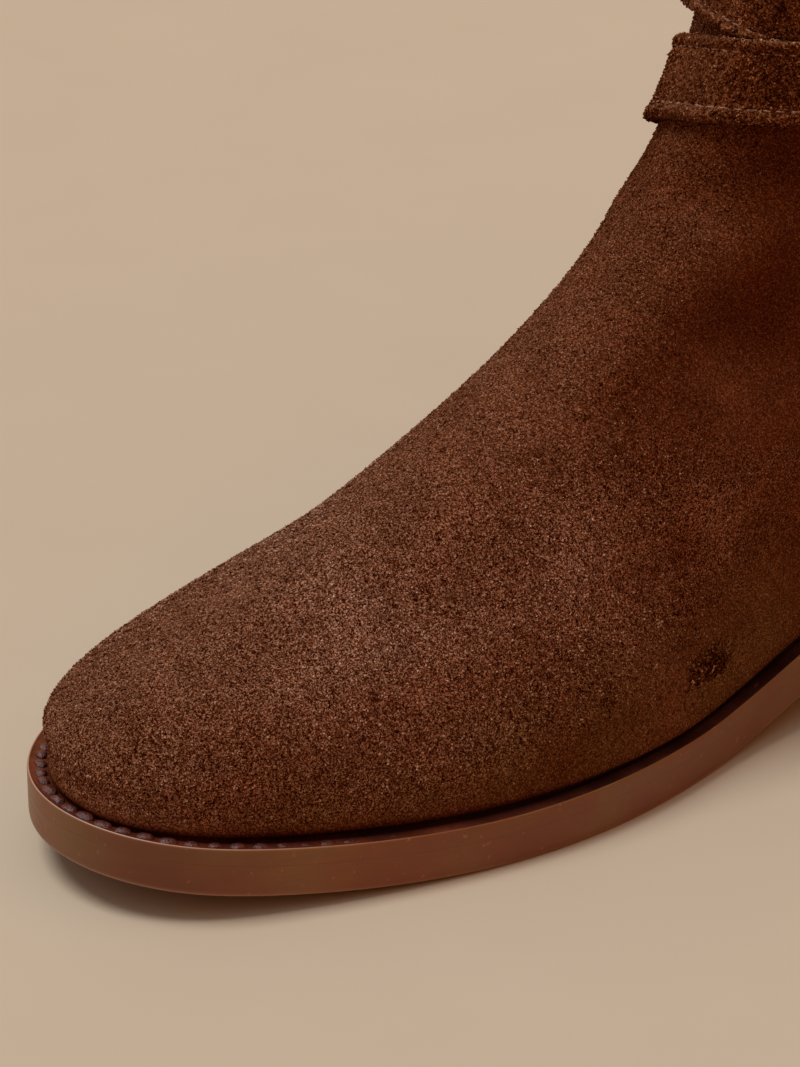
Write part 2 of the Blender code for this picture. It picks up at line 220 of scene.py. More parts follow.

# Short nap: leaning tufts, with painted shade at the root, so that the tip is lighter
NAP_PIECES = 3
NAP_TUFTS = 44000
NAP_WIDTH = 0.64
STRAP_TUFTS = 11000
STRAP_NAP_WIDTH = 0.82
SLIM_TUFTS = 0.3
STRAY_TUFTS = 0.002
TUFT_SHAPES = (
    # length and half width as shares of the size, for tufts, slim fibres and stray hairs
    (0.6, 0.42), (0.9, 0.16), (2.2, 0.07),
)
TUFT_FACES = ((0, 1, 3), (1, 2, 3), (2, 0, 3), (0, 2, 1))
TUFT_SIZES = (0.7, 1.25)
TUFT_HEIGHTS = (0.25, 0.55)
TUFT_LEANS = (0.1, 0.9)
TUFT_FRONT = 0.4
ROOT_DEPTH = 0.06
SWIRLS = (
    # pace along x, y and z in radians a millimetre, and start
    (0.11, 0.17, 0.05, 0.0),
    (-0.07, 0.05, 0.16, 1.3),
)
SWIRL_TURN = 0.6
TURN_SPREAD = 0.75
CRUMPLE_WAVES = 24
CRUMPLE_LENGTHS = (1.2, 3.2)
CRUMPLE_SLOPE = 0.25
CRUMPLE_LEAST = 0.15

# Light and dark of the nap, where 0.5 is its middle shade
MIDDLE_SHADE = 0.5
NAP_SHADES = (0.0, MIDDLE_SHADE, 1.0)
TUFT_SHADE = 0.12
# Painted shade in the hollows of the nap's crumpled relief, and painted light on its crests
CRUMPLE_PAINTED_SHADE = 0.12
CALM_SHADE = 0.6
# Painted shade at the tufts' roots, between the tufts
ROOT_PAINTED_SHADE = 0.22
SLIM_LIGHT = 0.08
STRAY_LIGHT = 0.3
# Painted light on the coarse nap of the vamp and the ankle's front, where the boot faces the light
COARSE_PAINTED_LIGHT = 0.15
FLECK_SHARE = 0.2
FLECK_POWER = 0.3
RUBBED_FLECK_POWER = -0.45
RUBBED_FLECK_FROM = 1.3
CALM_CONTRAST = 2.208
LIVELY_CONTRAST = 2.852
TONE_POWERS = (1.0, 1.6, 2.2)
OLIVE_POWERS = (0.0, 1.0, 0.7)

# Straps: sewn channels, and bands along the edges that puff out
STRAP_EDGE_ROUND = 0.9
STRAP_SEAM_INSET = 2.5
STRAP_SEAM_DEPTH = 0.45
STRAP_SEAM_WIDTH = 0.45
STRAP_SEAMS = (
    # lower or upper edge, how far the thread stands out of its channel
    (-1, 0.35), (1, -0.05),
)
STRAP_PUFF = (
    # turn, how far the lower border stands out
    (0, 1), (12, 0.8), (30, 0.6), (60, 0.5), (335, 0.5), (347, 0.7), (360, 1),
)
STRAP_TOP_PUFF = 0.25
# Number of waves round the ankle, start and height
STRAP_LUMPS = ((37, 0, 0.07), (23, 1.7, 0.07), (61, 0.6, 0.07))
STRAP_WAVES = ((19, 2.1, 0.16), (31, 0, 0.16), (53, 4, 0.096))
# Place from the edge and reach of each band
STRAP_BORDER = (1.5, 1.2)
STRAP_TOP = (1.2, 0.9)
STRAP_PAINTED_LIGHT_BAND = (1.4, 1.1)
STRAP_RAW_EDGE = (0.0, 0.45)
# Painted light round the straps' front and on their puffed lower border, their lighter raw top edge, and how
# lively they are
STRAP_FRONT_PAINTED_LIGHT = 1.45
STRAP_FRONT_PAINTED_LIGHT_FADE = (-0.45, 4.0, 22.0)
STRAP_BORDER_PAINTED_LIGHT = 0.30
STRAP_RAW_EDGE_LIGHT = (0.9, 8.0, 16.0)
STRAP_LIVELY = (0.5, 2.0, 16.0)

# Stitches: small capsules of thread
STRAP_STITCH = {"pitch": 2.7, "length": 2.2, "radius": 0.26, "lean": 0.0, "flat": 1.0}
WELT_STITCH = {"pitch": 4.15, "length": 3.7, "radius": 1.2, "lean": 12.0, "flat": 0.5}
STITCH_SIDES = 8
STITCH_RINGS = 7
STITCH_END = 0.06
STITCH_ARCH = 0.5
STITCH_SINK = 0.5
STITCH_TILT = 0.08
STITCH_SIZES = (0.8, 1.1)
STITCH_AHEAD = 0.5

# Sole, welt, insole and heel
EDGE_PAINTED_LIGHT_AND_SHADE = (
    # turn, painted light and shade on the sole's edge, lighter or darker by how it faces the light
    (0, 0.98), (8, 0.86), (18, 0.86), (30, 1.02), (40, 1.18), (50, 1.15), (62, 1.04),
    (75, 1), (340, 1.06), (360, 0.98),
)
SOLE_SECTION = (
    # inset, rise, wear and painted highlight on the bottom corner
    (0.9, 0, 0),
    (0.55, 0.08, 0.5),
    (0.25, 0.3, 0.5),
    (0.08, 0.65, 0.1),
    (0.01, 1.2, 0),
    (0, 2.6, 0),
    (0, 4.2, 0),
    (0, OUTSOLE_THICKNESS + SEAT_GAP - CLOSE_GAP, 0),
)
WELT_SECTION = (
    # inset, inset as a share of the margin, drop below the top, painted highlight on the lip, painted shade
    # in the channel
    (0, 0, WELT_THICKNESS, 0, 1),
    (0, 0, 0.9, 0, 1),
    (0.02, 0, 0.45, 0, 1),
    (0.09, 0, 0.18, 0.1, 1),
    (0.2, 0, 0.03, 0.9, 1),
    (0.3, 0, 0, 0.6, 1),
    (0.42, 0, 0.08, 0, 1),
    (0, 0.24, 0.32, 0, 1),
    (0, 0.5, 0.5, 0, 1),
    (0, 0.78, 0.55, 0, 0.8),
    (0, 0.92, 0.75, 0, 0.35),
    (0, 1.15, 0.75, 0, 0.25),
    (0, 1.3, 0, 0, 0.25),
    (WELT_WIDTH, 0, 0, 0, 0.25),
    (WELT_WIDTH, 0, WELT_THICKNESS, 0, 0.25),
)
CHANNEL_FROM = 6
# Painted shade in the welt's channel: its share at the toe, how it grows along the side, and more towards the
# waist
CHANNEL_TOE_PAINTED_SHADE = 0.4
CHANNEL_PAINTED_SHADE_RISE = (0.6, 18.0, 46.0)
CHANNEL_WAIST_PAINTED_SHADE = (0.5, 52.0, 74.0)
# Painted highlight on the welt's lip, fading away from the toe
LIP_HIGHLIGHT_FADE = (0.95, 18.0, 56.0)
BEAD_INSET = 0.51
BEAD_DROP = 0.45
BEAD_SINK = (0.9, 26.0, 54.0)
INSOLE_SECTION = (
    # inset, rise
    (0.0, 0.0),
    (0.0, INSOLE_THICKNESS - 0.8),
    (0.25, INSOLE_THICKNESS - 0.2),
    (0.9, INSOLE_THICKNESS),
)
TOP_LIFT_SECTION = (
    # inset, height
    (TOP_LIFT_ROUND, 0.0),
    (TOP_LIFT_ROUND * 0.3, TOP_LIFT_ROUND * 0.3),
    (0.0, TOP_LIFT_ROUND),
    (0.0, HEEL_TOP_LIFT + SEAT_GAP - CLOSE_GAP),
)
SOLE_SHARP = 40.0
WELT_SHARP = 60.0
HEEL_SHARP = 25.0

# Finishes: grain of the suede, stretch of the edge's rub marks, and colours in sRGB from dark to light
SUEDE_GRAIN = 0.42
STRAP_GRAIN = 0.6
EDGE_STRETCH = (0.12, 0.12, 1.0)
SUEDE = ((38, 5, 0), (90, 42, 19), (154, 102, 74))
SUEDE_TUFTS = ((44, 5, 0), (106, 54, 27), (180, 127, 98))
STRAP_SUEDE = ((28, 3, 0), (74, 30, 11), (137, 79, 45))
STRAP_SUEDE_TUFTS = ((30, 3, 0), (84, 37, 15), (166, 102, 63))
SHEEN = (235, 150, 110)
LINING = ((118, 82, 52), (134, 96, 64), (146, 108, 74))
EDGE = ((112, 56, 25), (116, 64, 29), (118, 76, 39))
EDGE_FLECKS = (150, 104, 78)
# Colour of the lighter corners: wear and painted highlight
EDGE_WORN_AND_HIGHLIGHT = (200, 150, 128)
TREAD = ((82, 46, 26), (98, 57, 34), (112, 68, 42))
CHANNEL = ((62, 22, 10), (92, 36, 18), (128, 58, 34))
INSOLE = ((150, 108, 72), (168, 126, 88), (182, 140, 102))
RUBBER = ((26, 22, 20), (32, 27, 24), (40, 34, 30))
WELT_THREAD = ((40, 10, 6), (112, 44, 28))
STRAP_THREAD = ((92, 52, 34), (176, 130, 104))
FLOOR = ((197, 174, 150), (199, 176, 152))

# Camera, light and floor: the angles and places were fitted to the photo
CAMERA_AZIMUTH = 55.0
CAMERA_ELEVATION = 24.1
CAMERA_DISTANCE = 800.0
CAMERA_ACROSS = -55.5
CAMERA_UP = 26.4
CAMERA_FOCUS = 3992.0
CAMERA_REACH_M = (0.01, 100.0)
PHOTO_HEIGHT = 1067.0
SENSOR = 36.0
SKY_AXIS = (-0.15, -0.30, 0.94)
SKY_TOP = (0.356, 0.581, 0.681, 1.0)
SKY_EDGE = (0.56, 0.175, 0.005, 1.0)
SKY_EDGE_RISE = 0.25
SUN_ENERGY = 2.03
SUN_ANGLE = 26.0
SUN_COLOUR = (0.90, 0.97, 1.0)
SUN_TRAVEL = (0.2, 0.3, -0.93)
FLOOR_SIZE_M = 60.0


# Curves and surfaces


def spline(knots, values, places):
    """Natural cubic curve through the values at the knots, read at the given places."""
    knots, values, places = (np.asarray(a, float) for a in (knots, values, places))
    step = np.diff(knots)
    column = (-1,) + (1,) * (values.ndim - 1)
    slope = np.diff(values, axis=0) / step.reshape(column)
    system = np.eye(len(knots))
    load = np.zeros(values.shape)
    for i in range(1, len(knots) - 1):
        system[i, i - 1 : i + 2] = step[i - 1], 2 * (step[i - 1] + step[i]), step[i]
        load[i] = 6 * (slope[i] - slope[i - 1])
    bend = np.linalg.solve(system, load.reshape(len(knots), -1)).reshape(values.shape)
    i = np.clip(np.searchsorted(knots, places) - 1, 0, len(step) - 1)
    before = (places - knots[i]).reshape(column)
    after = (knots[i + 1] - places).reshape(column)
    width = step[i].reshape(column)
    curve = (bend[i] * after**3 + bend[i + 1] * before**3) / (6 * width)
    curve += (values[i] / width - bend[i] * width / 6) * after
    return curve + (values[i + 1] / width - bend[i + 1] * width / 6) * before


def closed_spline(knots, values, places):
    """Smooth closed curve over a full turn."""
    thrice = np.concatenate([knots - 2 * math.pi, knots, knots + 2 * math.pi])
    return spline(thrice, np.concatenate([values] * 3), places)


def round_trip(turns, inner, outer, places):
    """Closed curve over the turn: the inner side runs from 0 to pi, and the outer side comes back."""
    once = np.concatenate([turns, 2 * math.pi - turns[-2:0:-1]])
    return closed_spline(once, np.concatenate([inner, outer[-2:0:-1]]), places)


def ring_turns(steps):
    """Turns of a ring's points in radians: toe, inner side, heel, outer side."""
    return np.linspace(0.0, 2 * math.pi, 2 * steps, endpoint=False)


def side_of(turns):
    """Degrees from the toe at each turn, the same on both sides."""
    return np.degrees(np.minimum(turns, 2 * math.pi - turns))


def table_at(table, turns):
    """A table's second column, read at each turn."""
    return np.interp(np.degrees(turns), *np.array(table).T)


def ease(start, end, place):
    """0 before start, 1 after end, and a smooth step between."""
    share = np.clip((np.asarray(place, float) - start) / (end - start), 0.0, 1.0)
    return share * share * (3 - 2 * share)


def rising(change, place):
    """How much of a change there is at each place, from none to all of it between its two places."""
    amount, start, end = change
    return amount * ease(start, end, place)


def band(from_edge, place, reach):
    """1 at a place from an edge, and a smooth fall on both sides of it."""
    return np.exp(-(((from_edge - place) / reach) ** 2))


def unit(vectors):
    """Vectors of length 1."""
    return vectors / np.linalg.norm(vectors, axis=-1, keepdims=True)


def tread_height(y):
    """Underside of the outsole: heel seat, arched waist, flat forefoot and toe spring."""
    toe_reach = SOLE_LENGTH / 2 + SPRING_START
    spring = TOE_SPRING * (np.clip(SPRING_START - y, 0.0, None) / toe_reach) ** 2
    return spring + HEEL_HEIGHT * ease(FLAT_END, HEEL_BREAST, y)


def sole_edge(turns):
    """The sole's edge in plan, at the given turns."""
    along, inner, outer = np.array(SOLE_OUTLINE).T
    x = round_trip(np.arccos(1 - 2 * along), inner, outer, turns)
    return np.stack([x, -SOLE_LENGTH / 2 * np.cos(turns)], axis=1)


def sole_centre(y):
    """Middle of the sole between its two edges, where the foot swings sideways."""
    turn = np.arccos(np.clip(-2 * np.asarray(y, float) / SOLE_LENGTH, -1.0, 1.0))
    return (sole_edge(turn)[:, 0] + sole_edge(2 * math.pi - turn)[:, 0]) / 2


def edge_inward(turns):
    """Direction inwards from the sole's edge, in plan."""
    nudge = 1e-3
    tangent = unit(sole_edge(turns + nudge) - sole_edge(turns - nudge))
    return np.stack([-tangent[:, 1], tangent[:, 0]], axis=1)


def inset_edge(inset, turns):
    """The sole's edge moved inwards. The inset is one distance, or one for each point."""
    return sole_edge(turns) + edge_inward(turns) * np.broadcast_to(inset, len(turns))[:, None]


def sole_ring(inset, rise, turns):
    """The sole's edge, inset, at a height above the tread."""
    edge = inset_edge(inset, turns)
    return np.column_stack([edge, tread_height(edge[:, 1]) + rise])


def welt_margin(turns):
    """Welt that shows outside the upper, at each point of the edge."""
    along = (1 - np.cos(turns)) / 2
    return WELT_MARGIN_TOE + (WELT_MARGIN_HEEL - WELT_MARGIN_TOE) * ease(*WELT_NARROWS, along)


def feather_ring(toe_inset, heel_inset, toe_rise, heel_rise, turns):
    """A low ring of the upper, that follows the sole's edge."""
    backward = ease(*FEATHER_CHANGES, (1 - np.cos(turns)) / 2)
    inset = toe_inset + (heel_inset - toe_inset) * backward
    rise = toe_rise + (heel_rise - toe_rise) * backward
    return sole_ring(welt_margin(turns) + inset, SOLE_TOP + SEAT_GAP + rise, turns)


def last_ring(row, turns):
    """A ring round the last, from its front end on the vamp's ridge to its back end on the heel curve."""
    front_y, front_z, back_y, back_z, *widths, follow, swing, lean = row
    along = (1 - np.cos(turns)) / 2
    y = front_y + (back_y - front_y) * along
    knots = np.radians([0.0, *WIDTH_TURNS, 180.0])
    half = np.array([0.0, *widths, 0.0])
    x = round_trip(knots, half, -half, turns)
    x += swing * sole_centre(y) + lean * (1 - along) ** 2
    front_sole, back_sole = tread_height(np.array([front_y, back_y]))
    sag = tread_height(y) - (front_sole + (back_sole - front_sole) * along)
    z = front_z + (back_z - front_z) * along + follow * sag
    return np.column_stack([x, y, z])


def upper_surface(levels, turns):
    """Outside of the upper: one ring for each level, from 0 at the welt to the last row at the collar."""
    rows = [feather_ring(*row, turns) for row in FEATHER_RINGS]
    rows += [last_ring(row, turns) for row in LAST_RINGS]
    return spline(np.arange(len(rows)), np.array(rows), levels)


def outward(surface):
    """Normals of a surface of stacked closed rings."""
    around = np.roll(surface, -1, axis=1) - np.roll(surface, 1, axis=1)
    return unit(np.cross(around, np.gradient(surface, axis=0)))


def spots(rows, surface, power=2):
    """The amount of each row of turn, level, amount and reach, fading out round its point of the upper."""
    for turn, level, amount, reach in rows:
        centre = upper_surface([level], np.radians([turn]))[0, 0]
        near = np.linalg.norm(surface - centre, axis=2)
        yield amount * np.exp(-((near / reach) ** power))


class Shaft:
    """The shaft's outside, to lay straps on: points at a height and a distance off it, for each turn."""

    def __init__(self, turns):
        levels = np.linspace(COLLAR_LEVEL - SHAFT_ROWS, COLLAR_LEVEL, SHAFT_SAMPLES)
        surface = upper_surface(levels, turns)
        self.columns = np.concatenate([surface, outward(surface)], axis=2).transpose(1, 2, 0)

    def at(self, height, stand_off):
        """Place and outward direction at each turn."""
        both = np.array([
            [np.interp(rise, column[2], values) for values in column]
            for rise, column in zip(height, self.columns)])
        return both[:, :3] + both[:, 3:] * np.asarray(stand_off)[:, None], both[:, 3:]


# Middle of the boot's box, which the CAD model's sole edge sets
CAD_EDGE_X = sole_edge(ring_turns(CAD_SIDE_STEPS))[:, 0]
BOX_MIDDLE = (CAD_EDGE_X.min() + CAD_EDGE_X.max()) / 2


# Meshes


def rings_mesh(rings, looped=False, twin=0):
    """Vertices and faces of stacked rings. A loop joins the two end rings, or else each has a flat cap.

    A cap's strips run from each point to its mirror point. Point 0 is its own, or with twin 1 the last one.
    """
    count, points = len(rings), len(rings[0])
    first = np.arange(points)
    second = (first + 1) % points
    faces = []
    for r in range(count if looped else count - 1):
        low, high = r * points, (r + 1) % count * points
        faces += np.stack([low + first, low + second, high + second, high + first], axis=1).tolist()
    if not looped:
        top = (count - 1) * points
        for a in range(points // 2):
            b = a + 1
            c, d = (points - twin - b) % points, (points - twin - a) % points
            faces.append(list(dict.fromkeys((a, d, c, b))))
            faces.append([top + k for k in dict.fromkeys((a, b, c, d))])
    return np.concatenate(rings), faces


def add_object(name, data):
    """A new object in the scene."""
    made = bpy.data.objects.new(name, data)
    bpy.context.scene.collection.objects.link(made)
    return made


def add_piece(name, vertices, faces, finishes, slot, replaced=None, finish_of_face=None, sharp=None):
    """One named piece in metres, that rides with the boot."""
    mesh = bpy.data.meshes.new(name)
    placed = (np.asarray(vertices) - (BOX_MIDDLE, 0.0, 0.0)) * MM
    mesh.from_pydata(placed.tolist(), [], faces)
    for finish in finishes:
        mesh.materials.append(finish)
    if finish_of_face is not None:
        mesh.polygons.foreach_set("material_index", np.asarray(finish_of_face, np.int32))
    mesh.shade_smooth()
    if sharp is not None:
        mesh.set_sharp_from_angle(angle=math.radians(sharp))
    made = add_object(name, mesh)
    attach(made, "root")
    if replaced:
        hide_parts(replaced)
    return made


def point_values(piece, name, values):
    """A number for each vertex, for the materials to read."""
    made = piece.data.attributes.new(name, "FLOAT", "POINT")
    made.data.foreach_set("value", np.asarray(values, np.float32).ravel())


def point_tones(piece, tone):
    """How light the nap is at each vertex, for each channel, with its painted light and shade."""
    made = piece.data.attributes.new("tone", "FLOAT_VECTOR", "POINT")
    made.data.foreach_set("vector", np.asarray(tone, np.float32).ravel())


# Materials


def linear(colour):
    """Linear colour of an sRGB one in 0 to 255."""
    share = np.array(colour) / 255
    light = np.where(share <= 0.04045, share / 12.92, ((share + 0.055) / 1.055) ** 2.4)
    return (*light.tolist(), 1.0)


class Nodes:
    """A node tree, built from short calls."""

    def __init__(self, owner):
        owner.use_nodes = True
        self.made = owner
        self.tree = owner.node_tree

    def node(self, kind, settings=(), inputs=()):
        """One node, with its settings and its inputs by name or number."""
        made = self.tree.nodes.new("ShaderNode" + kind)
        for key, value in dict(settings).items():
            setattr(made, key, value)
        for key, value in dict(inputs).items():
            self.feed(made.inputs[key], value)
        return made

    def feed(self, socket, value):
        """Sets a socket, or links it to another node's output."""
        if isinstance(value, bpy.types.NodeSocket):
            self.tree.links.new(value, socket)
        else:
            socket.default_value = value

    def ramp(self, value, places, colours):
        """Colours over a value, one at each place: sRGB ones, or numbers for greys."""
        made = self.node("ValToRGB", inputs={"Fac": value})
        marks = made.color_ramp.elements
        while len(marks) < len(places):
            marks.new(1.0)
        for mark, place, colour in zip(marks, places, colours):
            mark.position = place
            mark.color = linear(colour) if isinstance(colour, tuple) else (colour, colour, colour, 1.0)
        return made.outputs["Color"]


class Finish(Nodes):
    """A material."""

    def __init__(self, name):
        super().__init__(bpy.data.materials.new(name))
        self.shader = self.tree.nodes["Principled BSDF"]
        self.place = self.node("TexCoord").outputs["Object"]

    def set(self, **inputs):
        """Inputs of the surface shader, with _ for the spaces in their names."""
        for key, value in inputs.items():
            self.feed(self.shader.inputs[key.replace("_", " ")], value)

    def noise(self, size, detail, roughness, distortion=0.0, place=None):
        """Noise with features of about that size in millimetres, from 0 to 1."""
        made = self.node("TexNoise", inputs={
            "Vector": self.place if place is None else place, "Scale": 1 / (size * MM), "Detail": detail,
            "Roughness": roughness, "Distortion": distortion})
        return made.outputs["Fac"]

    def math(self, kind, first, second):
        """Arithmetic on two values."""
        return self.node("Math", {"operation": kind}, {0: first, 1: second}).outputs[0]

    def mix(self, share, first, second, kind="MIX"):
        """Two colours mixed."""
        made = self.node("Mix", {"data_type": "RGBA", "blend_type": kind}, {0: share, 6: first, 7: second})
        return made.outputs[2]

    def times(self, share, colour, factor):
        """A colour multiplied by a grey, in part or in full."""
        return self.mix(share, colour, factor, "MULTIPLY")

    def value(self, name):
        """A vertex value of the mesh."""
        return self.node("Attribute", {"attribute_name": name}).outputs["Fac"]

    def toned(self, colour):
        """A colour made lighter or darker by the mesh's tone, for each channel."""
        tone = self.node("Attribute", {"attribute_name": "tone"}).outputs["Vector"]
        made = self.node("VectorMath", {"operation": "MULTIPLY"}, {0: colour, 1: tone})
        return made.outputs["Vector"]

    def bump(self, height, depth, strength):
        """Relief of that depth in millimetres."""
        inputs = {"Height": height, "Distance": depth * MM, "Strength": strength}
        return self.node("Bump", inputs=inputs).outputs["Normal"]


def nap_grain(finish, grain):
    """Fine grain of the nap round 0, from dark pits to light clumps, stronger where the nap is lively."""
    clumps = finish.noise(grain, detail=3.0, roughness=0.62, distortion=0.6)
    grains = finish.noise(grain / 2, detail=2.0, roughness=0.6)
    mixed = finish.math("ADD", finish.math("MULTIPLY", clumps, 0.6), finish.math("MULTIPLY", grains, 0.4))
    away = finish.math("SUBTRACT", mixed, MIDDLE_SHADE)
    return finish.math("MULTIPLY", away, finish.value("contrast"))


def set_nap(finish, colour):
    """A dull surface with a faint sheen, lighter or darker by the mesh's tone."""
    finish.set(
        Base_Color=finish.toned(colour), Roughness=1.0, Specular_IOR_Level=0.0, Sheen_Weight=0.02,
        Sheen_Roughness=0.5, Sheen_Tint=linear(SHEEN))


def suede_finish(name, colours, grain, relief):
    """Brushed suede under the tufts: fine light and dark grain, soft patches, and relief."""
    finish = Finish(name)
    nap = nap_grain(finish, grain)
    colour = finish.ramp(finish.math("ADD", nap, MIDDLE_SHADE), NAP_SHADES, colours)
    patches = finish.noise(size=9.0, detail=3.0, roughness=0.55)
    set_nap(finish, finish.times(1.0, colour, finish.ramp(patches, (0.3, 0.7), (0.80, 1.15))))
    finish.set(Normal=finish.bump(nap, relief, strength=0.9))
    return finish.made


def fibre_finish(name, colours, grain):
    """Tufts of nap with the same fine grain, each a little lighter or darker."""
    finish = Finish(name)
    shade = finish.math("ADD", nap_grain(finish, grain), finish.value("nap"))
    set_nap(finish, finish.ramp(shade, NAP_SHADES, colours))
    return finish.made


def leather_finish(name, colours, roughness, relief=0.05, grain=0.8, with_painted_shade=False):
    """Smooth leather with soft patches, fine pores and uneven gloss, darkened by painted shade from a vertex
    value if asked.
    """
    finish = Finish(name)
    patches = finish.noise(size=14.0, detail=4.0, roughness=0.6)
    colour = finish.ramp(patches, (0.3, 0.5, 0.72), colours)
    pores = finish.noise(grain, detail=3.0, roughness=0.6)
    colour = finish.times(0.5, colour, finish.ramp(pores, (0.3, 0.6), (0.7, 1.05)))
    if with_painted_shade:
        # Painted shade from the mesh
        colour = finish.times(1.0, colour, finish.value("shade"))
    gloss = finish.noise(size=5.0, detail=3.0, roughness=0.6)
    finish.set(
        Base_Color=colour, Roughness=finish.ramp(gloss, (0.3, 0.7), (roughness - 0.08, roughness + 0.1)),
        Specular_IOR_Level=0.45, Normal=finish.bump(pores, relief, strength=0.6))
    return finish.made


def edge_finish(name):
    """Burnished sole edge: warm satin brown, fine lengthwise rub marks, painted light and shade along it, and
    lighter corners of wear and painted highlight.
    """
    finish = Finish(name)
    patches = finish.noise(size=22.0, detail=3.0, roughness=0.55)
    colour = finish.ramp(patches, (0.34, 0.5, 0.66), EDGE)
    lengthwise = finish.node("Mapping", inputs={"Vector": finish.place, "Scale": EDGE_STRETCH})
    rubs = finish.noise(
        size=1.6, detail=4.0, roughness=0.65, distortion=0.8, place=lengthwise.outputs["Vector"])
    colour = finish.times(0.35, colour, finish.ramp(rubs, (0.35, 0.65), (0.80, 1.12)))
    specks = finish.noise(size=1.3, detail=1.0, roughness=0.5)
    colour = finish.mix(finish.ramp(specks, (0.70, 0.76), (0.0, 0.5)), colour, linear(EDGE_FLECKS))
    # Painted light and shade along the edge, from the mesh
    colour = finish.times(1.0, colour, finish.value("shade"))
    # Lighter corners: wear and painted highlight
    colour = finish.mix(finish.value("wear_and_highlight"), colour, linear(EDGE_WORN_AND_HIGHLIGHT))
    finish.set(
        Base_Color=colour, Roughness=finish.ramp(rubs, (0.3, 0.7), (0.36, 0.50)), Specular_IOR_Level=0.5,
        Normal=finish.bump(rubs, depth=0.05, strength=0.5))
    return finish.made


def thread_finish(name, colours, roughness, gloss):
    """Waxed thread with a fine twist."""
    finish = Finish(name)
    twist = finish.noise(size=0.6, detail=3.0, roughness=0.65)
    finish.set(
        Base_Color=finish.ramp(twist, (0.3, 0.7), colours), Roughness=roughness,
        Specular_IOR_Level=gloss, Normal=finish.bump(twist, depth=0.4, strength=0.9))
    return finish.made


# Upper


def crease_depth(surface):
    """How far the listed troughs sink the upper at each point."""
    depth = np.zeros(surface.shape[:2])
    for path in CREASES:
        fine = np.linspace(0, len(path) - 1, CREASE_STEPS)
        columns = [np.interp(fine, np.arange(len(path)), column) for column in np.array(path).T]
        pushes = np.array(list(spots(zip(*columns), surface)))
        strongest = np.abs(pushes).argmax(axis=0)
        depth += np.take_along_axis(pushes, strongest[None], axis=0)[0]
    return depth


def upper_levels():
    """Levels of the fine upper, closer at its foot, and ending where the collar's edge rounds over."""
    foot = np.linspace(0.0, 1.0, FOOT_LEVELS, endpoint=False)
    end = COLLAR_LEVEL - COLLAR_EDGE_LEVEL
    return np.concatenate([foot, np.linspace(1.0, end, (COLLAR_LEVEL - 1) * LEVELS_PER_ROW)])


def fine_upper(levels, turns):
    """Outside of the upper with its creases, spread over the welt and tucked in at the feather line."""
    surface = upper_surface(levels, turns)
    surface -= outward(surface) * crease_depth(surface)[:, :, None]
    tuck = FOOT_TUCK * np.clip(1 - levels / FOOT_TUCK_LEVEL, 0.0, 1.0) ** 2
    spread = table_at(FOOT_SPREAD, turns) * (1 - ease(*FOOT_SPREAD_LEVELS, levels))[:, None]
    surface[:, :, :2] += edge_inward(turns)[None] * (tuck[:, None] - spread)[:, :, None]
    return surface


def painted_foot_shade(levels, turns):
    """Painted shade on the upper just above the welt, where the crevice over the welt lies in shade."""
    reach = PAINTED_FOOT_SHADE_REACH - rising(PAINTED_FOOT_SHADE_NARROWS, side_of(turns))
    return PAINTED_FOOT_SHADE + (1 - PAINTED_FOOT_SHADE) * ease(0.0, 1.0, levels[:, None] / reach)


def tone_channels(tone):
    """A tone as red, green and blue. Darker nap is also redder."""
    return tone[..., None] ** np.array(TONE_POWERS)


def past_edge(table, fade, levels, turns):
    """0 on the toe's side of an edge given by level, and 1 past it."""
    edge = np.interp(levels, *np.array(table).T)
    return ease(-fade, fade, side_of(turns) - edge[:, None])


def coarseness(levels, turns):
    """How coarse the nap is: full over the vamp and the ankle's front, and finer towards the waist."""
    foot = FOOT_NAP + (1 - FOOT_NAP) * ease(*FOOT_NAP_LEVELS, levels)
    return foot[:, None] * (1 - (1 - FINE_NAP) * past_edge(SMOOTH_EDGE, SMOOTH_FADE, levels, turns))


def rough_share(coarse, least=0.0):
    """Where the nap lies between fine, at 0, and coarse, at 1."""
    return np.clip((coarse - FINE_NAP) / (1 - FINE_NAP), least, 1.0)


def liveliness(levels, turns):
    """How strongly the nap's light tips stand out from its dark gaps, from 0 to 1."""
    rise = ease(*FOOT_NAP_LEVELS, levels) * (1 - rising(ANKLE_CALM, levels))
    return rise[:, None] * (1 - past_edge(LIVELY_EDGE, LIVELY_FADE, levels, turns))


def contrast(lively):
    """How far the grain's noise is stretched."""
    return CALM_CONTRAST + LIVELY_CONTRAST * lively


def upper_rings(outside, away):
    """The upper's wall: rings up its outside, over the rounded collar edge and down the lining."""
    rings = list(outside)
    radius = UPPER_WALL / 2
    for turn in np.radians(COLLAR_TURNS):
        ring = outside[-1] + away[-1] * (radius * math.cos(turn) - radius)
        ring[:, 2] += radius * math.sin(turn)
        rings.append(ring)
    inner_rows = np.linspace(len(outside) - 1, 0, LINING_LEVELS).round().astype(int)
    return rings + [outside[r] - away[r] * UPPER_WALL for r in inner_rows]


